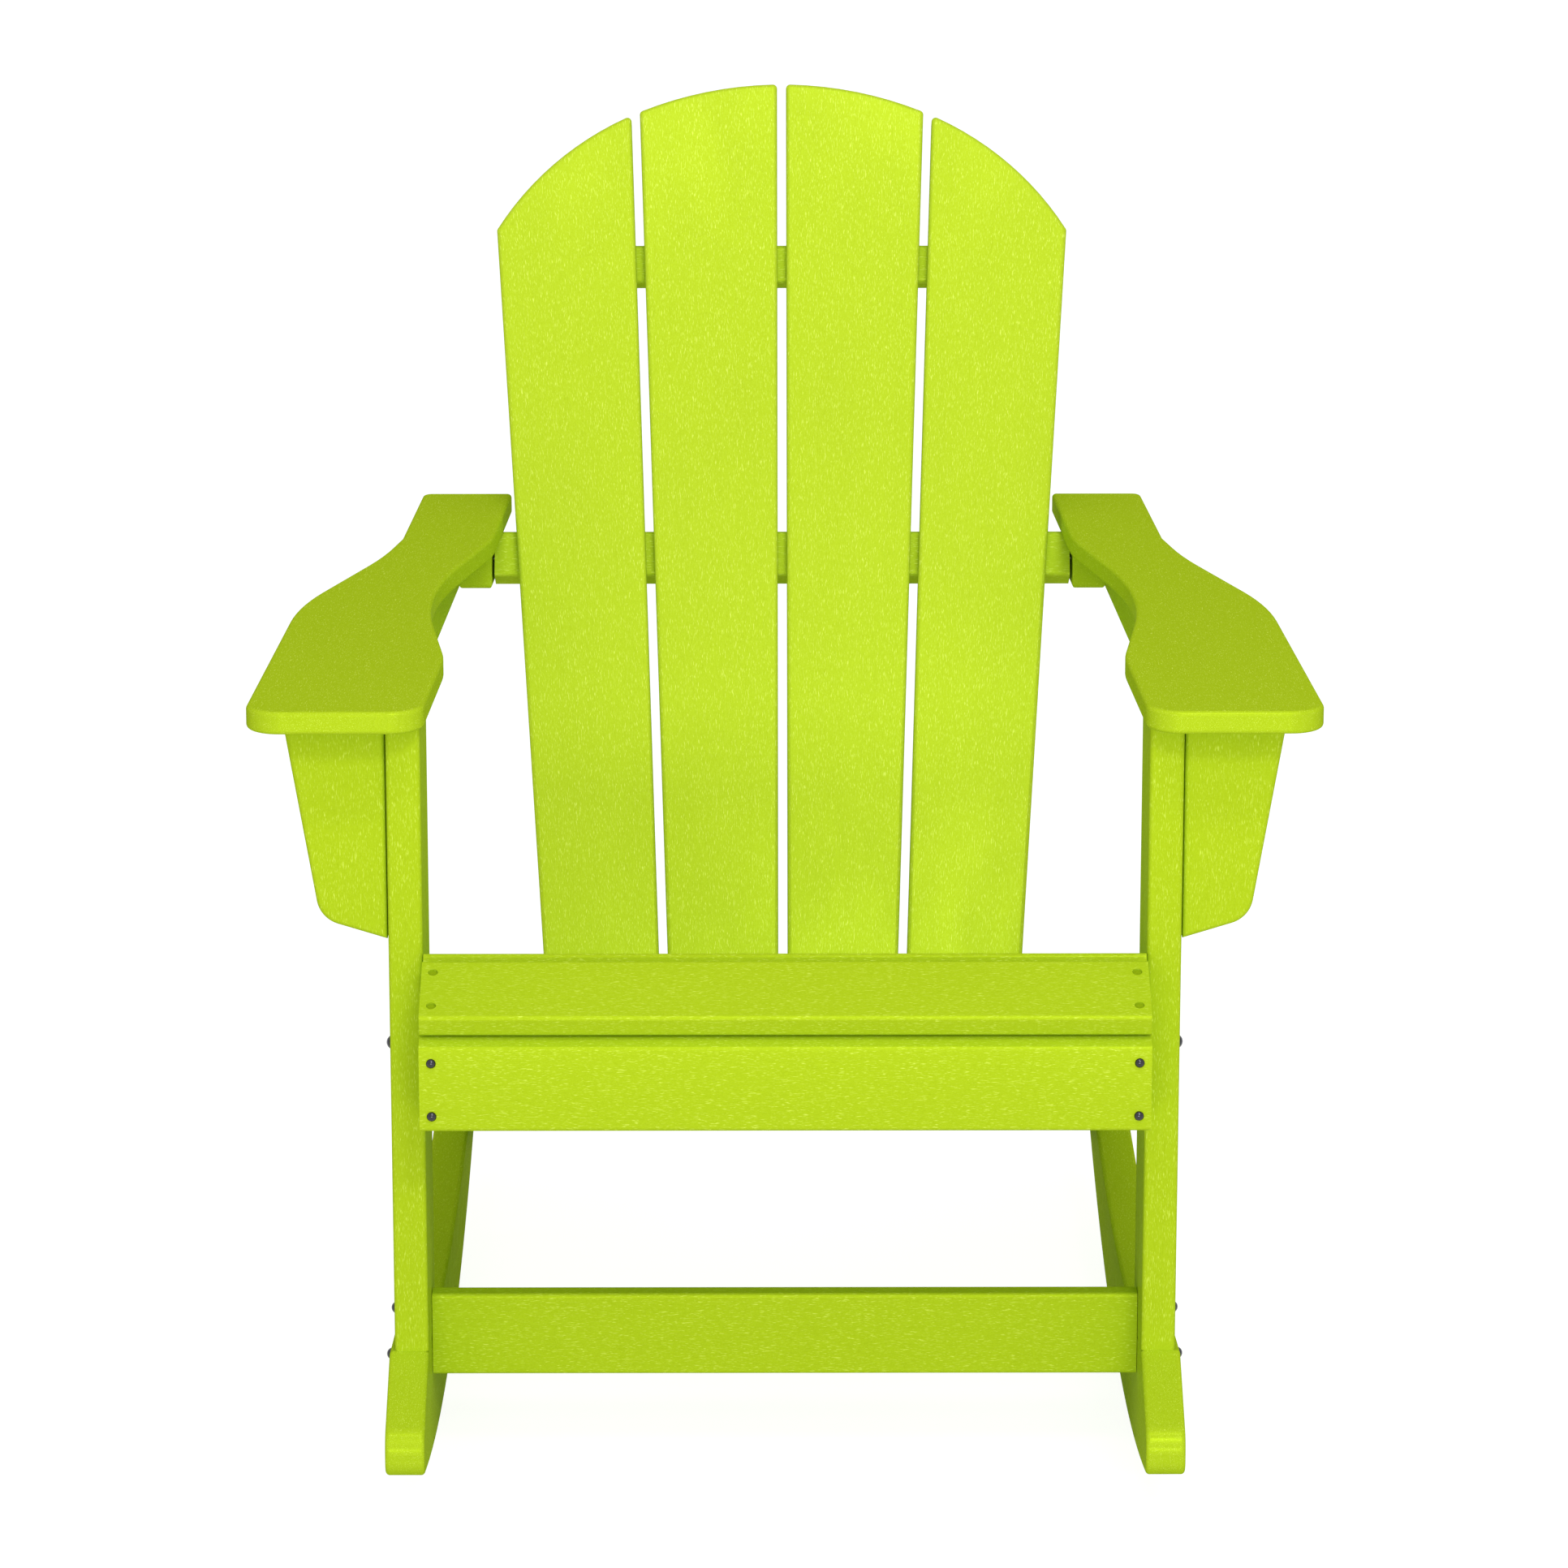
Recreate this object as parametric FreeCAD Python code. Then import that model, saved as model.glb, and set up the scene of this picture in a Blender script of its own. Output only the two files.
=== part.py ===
"""Rocking adirondack chair, cut from flat boards and held with bolts, screws and dowels.

Millimetres. +Z is up, the chair faces -Y and X = 0 is the mid-plane. Positions along Y are
measured from the front face of the front legs until every piece is moved by the same amount,
so that the origin ends up on the floor under the middle of the chair.
"""
import FreeCAD, Part
import math
import os

V = FreeCAD.Vector

# Board stock
SLAT_T = 18.0              # seat slats, back slats, apron, stretcher and upper back rail
SLAT_W = 63.5              # width of seat slats, apron and stretcher
FRAME_T = 25.0             # legs, stringers, arm gussets, arm bearers and arm blocks
ROCKER_T = 29.0            # rockers
ARM_T = 17.0               # arm boards
EDGE_R = 3.0               # round-over along board edges

# Side frames
FRAME_IN_X = 264.0         # inner face of legs and rockers, from the mid-plane
LEG_DEPTH = 95.0           # front to back
ARM_TOP_Z = 614.0
SEAT_SIDE_GAP = 0.4        # between the end of a board and the leg or stringer beside it

# Rockers
ROCK_R = 1850.0            # radius of the curve that meets the floor
BALANCE_Y = 344.0          # lowest point, under the centre of gravity
REST_FLAT = 40.0           # short chord where the curve meets the floor
SHOULDER_Z = 118.0         # top of the rocker at the front of the leg
NOSE_REACH = 78.0          # nose of the rocker, ahead of the leg
NOSE_DROP = 41.0           # from the shoulder to the top of the nose
NOSE_R = 20.0
TOE_R = 13.0               # lower corners of nose and tail
WAIST_Y = 344.0            # where the tangents of the hollow top edge cross
WAIST_Z = 75.0
WAIST_R = 4800.0
PAD_Y = 690.0              # foot of the raised pad behind the seat
PAD_Z = 112.0              # top of that pad
PAD_FOOT_Z = 81.0
PAD_RUN = 25.0
PAD_LENGTH = 85.0
TAIL_LENGTH = 32.0
TAIL_DROP = 17.0

# Seat
CREST_Y = -9.1             # highest point of the stringers
CREST_Z = 408.7
SEAT_SLOPE = 18.0          # degrees, down towards the back
NOSE_TILT = 24.5           # degrees, first slat, down towards the front
STRINGER_DEPTH = 106.5
STRINGER_END_Y = 795.0
TAIL_CLEARANCE = 8.0       # stringer tail above the rocking curve
FIRST_SETBACK = 0.7        # first slat, from the crest
SECOND_SETBACK = 2.2       # second slat, from the crest
LEVEL_SLATS = 7            # seat slats behind the tilted first one
SLAT_GAP = 4.11            # between seat slats
BACK_GAP = 3.0             # between the last seat slat and the back
APRON_DROP = 6.0           # top of the apron below the first slat's front lower edge

# Back
RECLINE = 28.0             # degrees from upright
FAN_ANGLE = 2.0            # degrees between one slat edge and the next
CENTRE_GAP = 7.4
SIDE_GAP = 7.0
BACK_INSET = 46.8          # outer edge of the back, in from the legs, at the height of the arms
BACK_BELOW_SEAT = 66.1     # slats reach this far below the seat's top, along the slats
CROWN = 379.5              # top of the arch above the arms, along the slats
CROWN_R = 300.0
SHOULDER_R = 249.0         # arch over the outer slats
ARM_RAIL_H = 37.8
ARM_RAIL_T = 29.0
RAIL_END_GAP = 0.3         # between the rail's rear corner and the arm block
UPPER_RAIL_H = 32.6
UPPER_RAIL_DROP = 134.3    # from the top of the arch to the top of the upper rail
UPPER_RAIL_INSET = 19.0    # end of the upper rail, in from the outer edge of the back
SEAT_RAIL_FROM_BOTTOM = 3.0

# Arms
ARM_TOE = 0.051            # inward drift per unit of length towards the back
ARM_FRONT_Y = -31.0
ARM_OVERRUN = 67.5         # rear ends, behind the top front edge of the rail at arm height
ARM_LIP = 4.5              # straight inner edge, in from the legs, at their front
ARM_WIDTH = 128.5
ARM_REAR_WIDTH = 73.2
ARM_CORNER_R = 25.0
ARM_REAR_R = 8.0
SCOOP_Y = 340.0            # middle of the hollow in the inner edge
SCOOP_LENGTH = 400.0
SCOOP_TANGENT = 36.0       # where the tangents of the hollow cross, in from the straight edge
SCOOP_R = 550.0
SCOOP_END_R = 180.0
SWELL_END_Y = 302.8        # where the outer edge starts to draw in
SWELL_R = 375.0
NECK_Y = 473.3
NECK_WIDTH = 81.8
NECK_R = 700.0
KINK_Y = 541.0
KINK_R = 60.0

# Arm supports
GUSSET_FRONT_Y = 5.0
GUSSET_GAP = 0.8
GUSSET_TOP_W = 73.4
GUSSET_HEIGHT = 162.8      # along the leg
GUSSET_TAPER = 0.1658      # the outer edge draws in by this much per unit of height
GUSSET_RISE = 0.31         # slope of the lower edge
GUSSET_R = 22.0
BEARER_TOE = 0.048
BEARER_DEPTH = 45.0
BEARER_OVERRUN = 49.5
BLOCK_LENGTH = 65.0
BLOCK_T = 26.5
SEAM = 0.3                 # between the bearer and the corner of the leg

# Stretcher
STRETCHER_Y = 48.0
STRETCHER_Z = 82.0

# Fasteners
BOLT_D = 6.0
HOLE_CLEARANCE = 0.2       # on the diameter of every shank
STRINGER_HEAD_D = 11.2
STRETCHER_HEAD_D = 9.4
HEAD_DOME = 4.5
HEAD_RIM = 1.0
STRINGER_BOLT = (50.0, 342.0)
FIX_SPACING = 36.6         # two fasteners across one board
APRON_SPACING = 40.0
FIX_INSET = 8.8            # seat plugs and apron screws, in from the end of the board
NUT_W = 10.0
NUT_T = 5.0
WASHER_D = 14.0
WASHER_T = 1.5
BARREL_D = 10.0
BARREL_L = 13.0
BOLT_GRIP = 34.0           # length of a bolt inside the end of a board
BARREL_INSET = 26.0        # from the end of the board to the middle of its barrel nut
TAIL_BOLT_PITCH = 45.0
SCREW_D = 4.5
SCREW_HEAD_D = 7.0
SCREW_DOME = 2.2
SCREW_RIM = 0.8
APRON_SCREW_L = 45.0
SCREW_BITE = 12.0          # length of a screw inside the face of the board that it holds
END_BITE = 32.0            # the same inside the end of a board
BACK_SCREW_SPACING = 36.0  # two screws across one back slat
ARM_SCREW_Y = 70.0         # first of three screws through the arm bearer
ARM_SCREW_INSET = 80.0     # last of them, from the rear end of the bearer
BLOCK_SCREW_INSET = 18.0   # from the rear end of the arm block
PLUG_D = 7.2
PLUG_T = 4.0
PLUG_RECESS = 1.6
DOWEL_D = 8.0
DOWEL_L = 36.0
DOWEL_SPACING = 70.0

# Worked out from the sizes above
LEG_OUT_X = FRAME_IN_X + FRAME_T
STRINGER_IN_X = FRAME_IN_X - FRAME_T
FIX_X = FRAME_IN_X - FIX_INSET
ARM_IN_U = FRAME_IN_X - ARM_LIP
NECK_U = ARM_IN_U + NECK_WIDTH
GUSSET_IN_X = LEG_OUT_X + GUSSET_GAP
GUSSET_TOP_X = GUSSET_IN_X + GUSSET_TOP_W
OUTER_EDGE_X = FRAME_IN_X - BACK_INSET
SIDE_GAP_X = OUTER_EDGE_X / 2
ARM_UNDER_Z = ARM_TOP_Z - ARM_T
SLOPE = math.radians(SEAT_SLOPE)
TILT = math.radians(NOSE_TILT)
LEAN = math.radians(RECLINE)
SEAT_RUN = SECOND_SETBACK + LEVEL_SLATS * (SLAT_W + SLAT_GAP) - SLAT_GAP + BACK_GAP
SEAT_BACK_Y = CREST_Y + SEAT_RUN * math.cos(SLOPE)
SEAT_BACK_Z = CREST_Z - SEAT_RUN * math.sin(SLOPE)
SEAT_BELOW_ARMS = (ARM_UNDER_Z - SEAT_BACK_Z + SLAT_T * math.sin(LEAN)) / math.cos(LEAN)
RAIL_REF_Y = SEAT_BACK_Y + SEAT_BELOW_ARMS * math.sin(LEAN) + SLAT_T * math.cos(LEAN)
BACK_BOTTOM = SEAT_BELOW_ARMS + BACK_BELOW_SEAT
BEARER_END_Y = RAIL_REF_Y + BEARER_OVERRUN
BEARER_IN_U = LEG_OUT_X + BEARER_TOE * LEG_DEPTH + SEAM
INNER_SLAT = (CENTRE_GAP / 2, 0, SIDE_GAP_X - SIDE_GAP / 2, FAN_ANGLE)
OUTER_SLAT = (SIDE_GAP_X + SIDE_GAP / 2, FAN_ANGLE, OUTER_EDGE_X, 2 * FAN_ANGLE)
UPPER_RAIL_TOP = CROWN - UPPER_RAIL_DROP
SEAT_RAIL_TOP = SEAT_RAIL_FROM_BOTTOM + SLAT_W - BACK_BOTTOM
RAIL_REAR_Y = RAIL_REF_Y + ARM_RAIL_T * math.cos(LEAN)
ARM_RAIL_HALF = BEARER_IN_U - BLOCK_T - BEARER_TOE * RAIL_REAR_Y - RAIL_END_GAP
SAG = ROCK_R - math.sqrt(ROCK_R ** 2 - REST_FLAT ** 2 / 4)
ROCK_CENTRE_Z = ROCK_R - SAG
APRON_FRONT_Y = CREST_Y - (SLAT_W + FIRST_SETBACK) * math.cos(TILT) - SLAT_T * math.sin(TILT)
APRON_TOP_Z = CREST_Z - (SLAT_W + FIRST_SETBACK) * math.sin(TILT) - APRON_DROP
STRINGER_FRONT_Y = APRON_FRONT_Y + SLAT_T


def closed_outline(corners, place):
    """Wire through corners (a, b, radius) of a plane; a radius too large for its sides is limited."""
    flat = [V(a, b, 0) for a, b, _ in corners]
    turns = []
    for i, (_, _, radius) in enumerate(corners):
        here = flat[i]
        back = flat[i - 1] - here
        ahead = flat[(i + 1) % len(flat)] - here
        room = 0.49 * min(back.Length, ahead.Length)
        back.normalize()
        ahead.normalize()
        half = back.getAngle(ahead) / 2
        setback = min(radius / math.tan(half), room)
        if setback < 1e-6:
            turns.append((here, None, here))
            continue
        bulge = setback / math.cos(half) - setback * math.tan(half)
        inward = (back + ahead).normalize()
        turns.append((here + back * setback, here + inward * bulge, here + ahead * setback))
    edges = []
    for i, (start, middle, end) in enumerate(turns):
        if middle is not None:
            edges.append(Part.Arc(place(start), place(middle), place(end)).toShape())
        edges.append(Part.makeLine(place(end), place(turns[(i + 1) % len(turns)][0])))
    return Part.Wire(edges)


def side_board(corners, inner_x, thickness):
    """Board that stands upright along Y, from its outline in Y and Z."""
    wire = closed_outline(corners, lambda p: V(inner_x, p.x, p.y))
    return Part.Face(wire).extrude(V(thickness, 0, 0))


def rod(centre, direction, diameter, length):
    """Cylinder that starts at a point and runs along a direction."""
    return Part.makeCylinder(diameter / 2, length, centre, direction)


def softened(solid, chosen, radius=EDGE_R):
    """The solid with a round-over on the edges for which chosen(edge) is true."""
    edges = [edge for edge in solid.Edges if chosen(edge)]
    return solid.makeFillet(radius, edges)


def on_plane(normal, *levels):
    """Test for edges that lie wholly in one of the planes square to an axis."""
    def test(edge):
        box = edge.BoundBox
        low = V(box.XMin, box.YMin, box.ZMin).dot(normal)
        high = V(box.XMax, box.YMax, box.ZMax).dot(normal)
        return any(abs(low - level) < 0.01 and abs(high - level) < 0.01 for level in levels)
    return test


def runs_along(axis):
    """Test for straight edges that run along an axis."""
    def test(edge):
        if not isinstance(edge.Curve, Part.Line):
            return False
        return abs(edge.tangentAt(edge.FirstParameter).dot(axis)) > 0.999
    return test


def plank(half_length, low_a, low_b, width, thickness):
    """Board along X with its four long edges rounded; its section starts at (low_a, low_b)."""
    blank = Part.makeBox(2 * half_length, width, thickness, V(-half_length, low_a, low_b))
    return softened(blank, runs_along(V(1, 0, 0)))


def mirrored(solid):
    """The same piece on the other side of the chair."""
    return solid.mirror(V(0, 0, 0), V(1, 0, 0))


def drilled(solid, cutters):
    """The solid less a list of cutters."""
    return solid.cut(cutters[0].fuse(cutters[1:])) if len(cutters) > 1 else solid.cut(cutters[0])


def domed_head(seat, outward, diameter, rim, dome):
    """Round head with a short rim and a domed top, standing on a surface."""
    radius = diameter / 2
    ball = (radius ** 2 + dome ** 2) / (2 * dome)
    sphere = Part.makeSphere(ball, seat + outward * (rim + dome - ball))
    column = rod(seat, outward, diameter, rim + dome)
    return column.common(sphere.fuse(rod(seat, outward, diameter, rim)))


def bolt(seat, inward, head_d, grip):
    """Round-headed bolt driven inward from its seat."""
    head = domed_head(seat, inward * -1, head_d, HEAD_RIM, HEAD_DOME)
    return head.fuse(rod(seat, inward, BOLT_D, grip)).removeSplitter()


def screw(seat, inward, length):
    """Pan-headed screw driven inward from its seat."""
    head = domed_head(seat, inward * -1, SCREW_HEAD_D, SCREW_RIM, SCREW_DOME)
    return head.fuse(rod(seat, inward, SCREW_D, length)).removeSplitter()


def hole(centre, direction, diameter, length):
    """Cutter for a shank of this diameter."""
    return rod(centre, direction, diameter + HOLE_CLEARANCE, length)


def nut(seat, outward):
    """Hexagonal nut on a washer, with the bolt's bore through both."""
    washer = rod(seat, outward, WASHER_D, WASHER_T)
    base = seat + outward * WASHER_T
    across = NUT_W / math.sqrt(3)
    points = []
    for i in range(7):
        angle = math.radians(60 * i)
        points.append(base + V(0, across * math.cos(angle), across * math.sin(angle)))
    body = Part.Face(Part.makePolygon(points)).extrude(outward * NUT_T)
    bore = hole(seat - outward, outward, BOLT_D, WASHER_T + NUT_T + 2)
    return washer.fuse(body).removeSplitter().cut(bore)


def both_sides(solids):
    """A group of solids and its mirror image, as one compound."""
    return Part.makeCompound(solids + [mirrored(solid) for solid in solids])


# Side frames

def rocking_disc(radius, low_x, high_x):
    """Disc whose rim is the rocking curve, or a curve inside it."""
    return Part.makeCylinder(radius, high_x - low_x, V(low_x, BALANCE_Y, ROCK_CENTRE_Z), V(1, 0, 0))


def rocker_blank():
    """Rocker before its edges are rounded."""
    pad_start = PAD_Y + PAD_RUN
    pad_end = pad_start + PAD_LENGTH
    tail = pad_end + TAIL_LENGTH
    corners = [
        (0, SHOULDER_Z, EDGE_R + 0.5),
        (WAIST_Y, WAIST_Z, WAIST_R),
        (PAD_Y, PAD_FOOT_Z, 25.0),
        (pad_start, PAD_Z, 20.0),
        (pad_end, PAD_Z, 20.0),
        (tail, PAD_Z - TAIL_DROP, 16.0),
        (tail, 0, 0),
        (-NOSE_REACH, 0, 0),
        (-NOSE_REACH, SHOULDER_Z - NOSE_DROP, NOSE_R),
    ]
    blank = side_board(corners, FRAME_IN_X, ROCKER_T)
    curved = blank.common(rocking_disc(ROCK_R, FRAME_IN_X - 1, FRAME_IN_X + ROCKER_T + 1))

    def lower_corner(edge):
        at_end = abs(edge.CenterOfMass.y + NOSE_REACH) < 0.01 or abs(edge.CenterOfMass.y - tail) < 0.01
        return runs_along(V(1, 0, 0))(edge) and at_end and edge.CenterOfMass.z < SHOULDER_Z - NOSE_DROP - NOSE_R
    return softened(curved, lower_corner, TOE_R)


def stretcher_bolt_heights():
    """Heights of the two bolts at each end of the stretcher; the lower one is in the rocker."""
    middle = STRETCHER_Z + SLAT_W / 2
    return middle - FIX_SPACING / 2, middle + FIX_SPACING / 2


def tail_bolt_places():
    """Two bolts that hold the stringer's tail to the rocker's pad."""
    middle_y = PAD_Y + PAD_RUN + PAD_LENGTH / 2
    places = []
    for offset in (-TAIL_BOLT_PITCH / 2, TAIL_BOLT_PITCH / 2):
        y = middle_y + offset
        floor_curve = ROCK_CENTRE_Z - math.sqrt(ROCK_R ** 2 - (y - BALANCE_Y) ** 2)
        places.append((y, (floor_curve + TAIL_CLEARANCE + PAD_Z) / 2))
    return places


STRETCHER_MID_Y = STRETCHER_Y + SLAT_T / 2


def make_rocker():
    """Right rocker with its bolt holes."""
    faces = on_plane(V(1, 0, 0), FRAME_IN_X, FRAME_IN_X + ROCKER_T)
    solid = softened(rocker_blank(), faces)
    low_z, _ = stretcher_bolt_heights()
    start_x = FRAME_IN_X - 1
    reach = ROCKER_T + 2
    cutters = [hole(V(start_x, STRETCHER_MID_Y, low_z), V(1, 0, 0), BOLT_D, reach)]
    for y, z in tail_bolt_places():
        cutters.append(hole(V(start_x, y, z), V(1, 0, 0), BOLT_D, reach))
    return drilled(solid, cutters)


def gusset_dowel_places():
    """Heights of the two dowels between leg and gusset."""
    middle = ARM_UNDER_Z - GUSSET_HEIGHT / 2
    return middle - DOWEL_SPACING / 2, middle + DOWEL_SPACING / 2


def make_leg():
    """Right front leg, scribed to the top of the rocker."""
    blank = Part.makeBox(FRAME_T, LEG_DEPTH, ARM_UNDER_Z, V(FRAME_IN_X, 0, 0))
    below = rocker_blank().fuse(Part.makeBox(FRAME_T, LEG_DEPTH, WAIST_Z, V(FRAME_IN_X, 0, 0)))
    solid = softened(blank.cut(below), runs_along(V(0, 0, 1)))
    _, high_z = stretcher_bolt_heights()
    start_x = FRAME_IN_X - 1
    reach = FRAME_T + 2
    cutters = [
        hole(V(start_x, STRETCHER_MID_Y, high_z), V(1, 0, 0), BOLT_D, reach),
        hole(V(start_x, *STRINGER_BOLT), V(1, 0, 0), BOLT_D, reach),
    ]
    for z in gusset_dowel_places():
        cutters.append(hole(V(LEG_OUT_X - DOWEL_L / 2, gusset_mid_y(), z), V(1, 0, 0), DOWEL_D, DOWEL_L))
    return drilled(solid, cutters)


def seat_line(distance):
    """Point of the stringer's top edge at a distance behind the crest."""
    return V(0, CREST_Y + distance * math.cos(SLOPE), CREST_Z - distance * math.sin(SLOPE))


def nose_line(distance):
    """Point of the stringer's sloping nose at a distance ahead of the crest."""
    return V(0, CREST_Y - distance * math.cos(TILT), CREST_Z - distance * math.sin(TILT))


def make_stringer():
    """Right seat stringer, from the apron back to the rocker's pad."""
    front = STRINGER_FRONT_Y
    drop = STRINGER_DEPTH / math.cos(SLOPE)
    foot_z = APRON_TOP_Z - SLAT_W
    run = math.tan(SLOPE)
    heel_y = CREST_Y + (CREST_Z - drop - foot_z) / run
    corners = [
        (front, foot_z, 0),
        (front, CREST_Z - (CREST_Y - front) * math.tan(TILT), 0),
        (CREST_Y, CREST_Z, 0),
        (STRINGER_END_Y, CREST_Z - (STRINGER_END_Y - CREST_Y) * run, 40.0),
        (STRINGER_END_Y, CREST_Z - drop - (STRINGER_END_Y - CREST_Y) * run, 0),
        (max(heel_y, front + 1), foot_z, 0),
    ]
    blank = side_board(corners, STRINGER_IN_X, FRAME_T)
    blank = blank.common(rocking_disc(ROCK_R - TAIL_CLEARANCE, STRINGER_IN_X - 1, FRAME_IN_X + 1))
    low_edges = on_plane(V(1, 0, 0), STRINGER_IN_X, FRAME_IN_X)

    def below_the_seat(edge):
        middle = edge.CenterOfMass
        at_front = abs(middle.y - front) < 0.01
        top = CREST_Z - (middle.y - CREST_Y) * run
        nose = CREST_Z - (CREST_Y - middle.y) * math.tan(TILT)
        return low_edges(edge) and not at_front and middle.z < min(top, nose) - 1
    solid = softened(blank, below_the_seat)
    start_x = STRINGER_IN_X - 1
    reach = FRAME_T + 2
    cutters = [hole(V(start_x, *STRINGER_BOLT), V(1, 0, 0), BOLT_D, reach)]
    for y, z in tail_bolt_places():
        cutters.append(hole(V(start_x, y, z), V(1, 0, 0), BOLT_D, reach))
    for point in seat_rail_screw_points():
        cutters.append(hole(V(start_x, point.y, point.z), V(1, 0, 0), SCREW_D, reach))
    for z in apron_screw_heights():
        cutters.append(hole(V(FIX_X, front - 1, z), V(0, 1, 0), SCREW_D, APRON_SCREW_L - SLAT_T + 1))
    return drilled(solid, cutters)


# Seat

def apron_screw_heights():
    """Heights of the two screws at each end of the apron."""
    middle = APRON_TOP_Z - SLAT_W / 2
    return middle - APRON_SPACING / 2, middle + APRON_SPACING / 2


def make_apron():
    """Front apron, screwed to the front ends of the stringers."""
    board = plank(FRAME_IN_X, APRON_FRONT_Y, APRON_TOP_Z - SLAT_W, SLAT_T, SLAT_W)
    cutters = []
    for z in apron_screw_heights():
        for x in (-FIX_X, FIX_X):
            cutters.append(hole(V(x, APRON_FRONT_Y - 1, z), V(0, 1, 0), SCREW_D, SLAT_T + 2))
    return drilled(board, cutters)


def make_stretcher():
    """Stretcher between the side frames, with barrel nuts let into its back."""
    half = FRAME_IN_X - SEAT_SIDE_GAP
    board = plank(half, STRETCHER_Y, STRETCHER_Z, SLAT_T, SLAT_W)
    cutters = []
    for z in stretcher_bolt_heights():
        for side in (-1, 1):
            end = V(side * (half + 1), STRETCHER_MID_Y, z)
            cutters.append(hole(end, V(-side, 0, 0), BOLT_D, BOLT_GRIP + 2))
            pocket = V(side * (half - BARREL_INSET), STRETCHER_Y + SLAT_T - BARREL_L, z)
            cutters.append(rod(pocket, V(0, 1, 0), BARREL_D + HOLE_CLEARANCE, BARREL_L + 1))
    return drilled(board, cutters)


def barrel_nut(middle, axis, across):
    """Barrel nut with the bolt's bore across it."""
    body = rod(middle - axis * (BARREL_L / 2), axis, BARREL_D, BARREL_L)
    return body.cut(hole(middle - across * BARREL_D, across, BOLT_D, 2 * BARREL_D))


def back_surface(offset, along):
    """Point of the back: offset ahead of the slats' rear faces, along them from the arms."""
    y = RAIL_REF_Y + along * math.sin(LEAN) - offset * math.cos(LEAN)
    z = ARM_UNDER_Z + along * math.cos(LEAN) + offset * math.sin(LEAN)
    return V(0, y, z)


def seat_slat_starts():
    """Distances behind the crest at which the level seat slats start."""
    return [SECOND_SETBACK + i * (SLAT_W + SLAT_GAP) for i in range(LEVEL_SLATS)]


def seat_slat_blank():
    """Seat slat lying flat at the origin, with the recesses for its plugs."""
    board = plank(FRAME_IN_X - SEAT_SIDE_GAP, 0, 0, SLAT_W, SLAT_T)
    depth = PLUG_RECESS + PLUG_T
    cutters = []
    for x, y in plug_places():
        cutters.append(rod(V(x, y, SLAT_T - depth), V(0, 0, 1), PLUG_D, depth + 1))
    return drilled(board, cutters)


def plug_places():
    """Places of the four plugs on one seat slat."""
    middle = SLAT_W / 2
    return [(x, y) for x in (-FIX_X, FIX_X) for y in (middle - FIX_SPACING / 2, middle + FIX_SPACING / 2)]


def slat_plugs():
    """The four plugs of a seat slat lying flat at the origin."""
    top = SLAT_T - PLUG_RECESS
    return [rod(V(x, y, top - PLUG_T), V(0, 0, 1), PLUG_D - HOLE_CLEARANCE, PLUG_T) for x, y in plug_places()]


def seat_placements():
    """Placement of every seat slat, first to last."""
    first = nose_line(FIRST_SETBACK + SLAT_W)
    placements = [FreeCAD.Placement(first, FreeCAD.Rotation(V(1, 0, 0), NOSE_TILT))]
    for start in seat_slat_starts():
        placements.append(FreeCAD.Placement(seat_line(start), FreeCAD.Rotation(V(1, 0, 0), -SEAT_SLOPE)))
    return placements


def placed(shape, placement):
    """A copy of the shape moved by a placement."""
    copy = shape.copy()
    copy.Placement = placement.multiply(copy.Placement)
    return copy


# Back

BACK = FreeCAD.Placement(V(0, RAIL_REF_Y, ARM_UNDER_Z), FreeCAD.Rotation(V(1, 0, 0), -RECLINE))


def fan_x(x_at_arms, angle, along):
    """X of a slat edge that leans outward by an angle."""
    return x_at_arms + math.tan(math.radians(angle)) * along


def arch_disc(outer):
    """Disc whose rim is the arch over the inner or the outer slats, in the plane of the back."""
    centre = V(0, -1, CROWN - CROWN_R)
    if not outer:
        return Part.makeCylinder(CROWN_R, SLAT_T + 2, centre + V(0, -SLAT_T, 0), V(0, 1, 0))
    join_x = fan_x(SIDE_GAP_X, FAN_ANGLE, CROWN)
    toward = V(join_x, 0, math.sqrt(CROWN_R ** 2 - join_x ** 2)).normalize()
    centre = centre + toward * (CROWN_R - SHOULDER_R)
    return Part.makeCylinder(SHOULDER_R, SLAT_T + 2, centre + V(0, -SLAT_T, 0), V(0, 1, 0))


def back_rail_sections():
    """Height of the middle and thickness of each rail behind the slats, in the plane of the back."""
    return [
        (UPPER_RAIL_TOP - UPPER_RAIL_H / 2, SLAT_T),
        (-ARM_RAIL_H / 2, ARM_RAIL_T),
        (SEAT_RAIL_TOP - SLAT_W / 2, FRAME_T),
    ]


def back_screw_xs(slat, along):
    """X of the two screws that hold a right-hand slat to the rail at this height."""
    inner_x, inner_angle, outer_x, outer_angle = slat
    middle = (fan_x(inner_x, inner_angle, along) + fan_x(outer_x, outer_angle, along)) / 2
    return middle - BACK_SCREW_SPACING / 2, middle + BACK_SCREW_SPACING / 2


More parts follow.
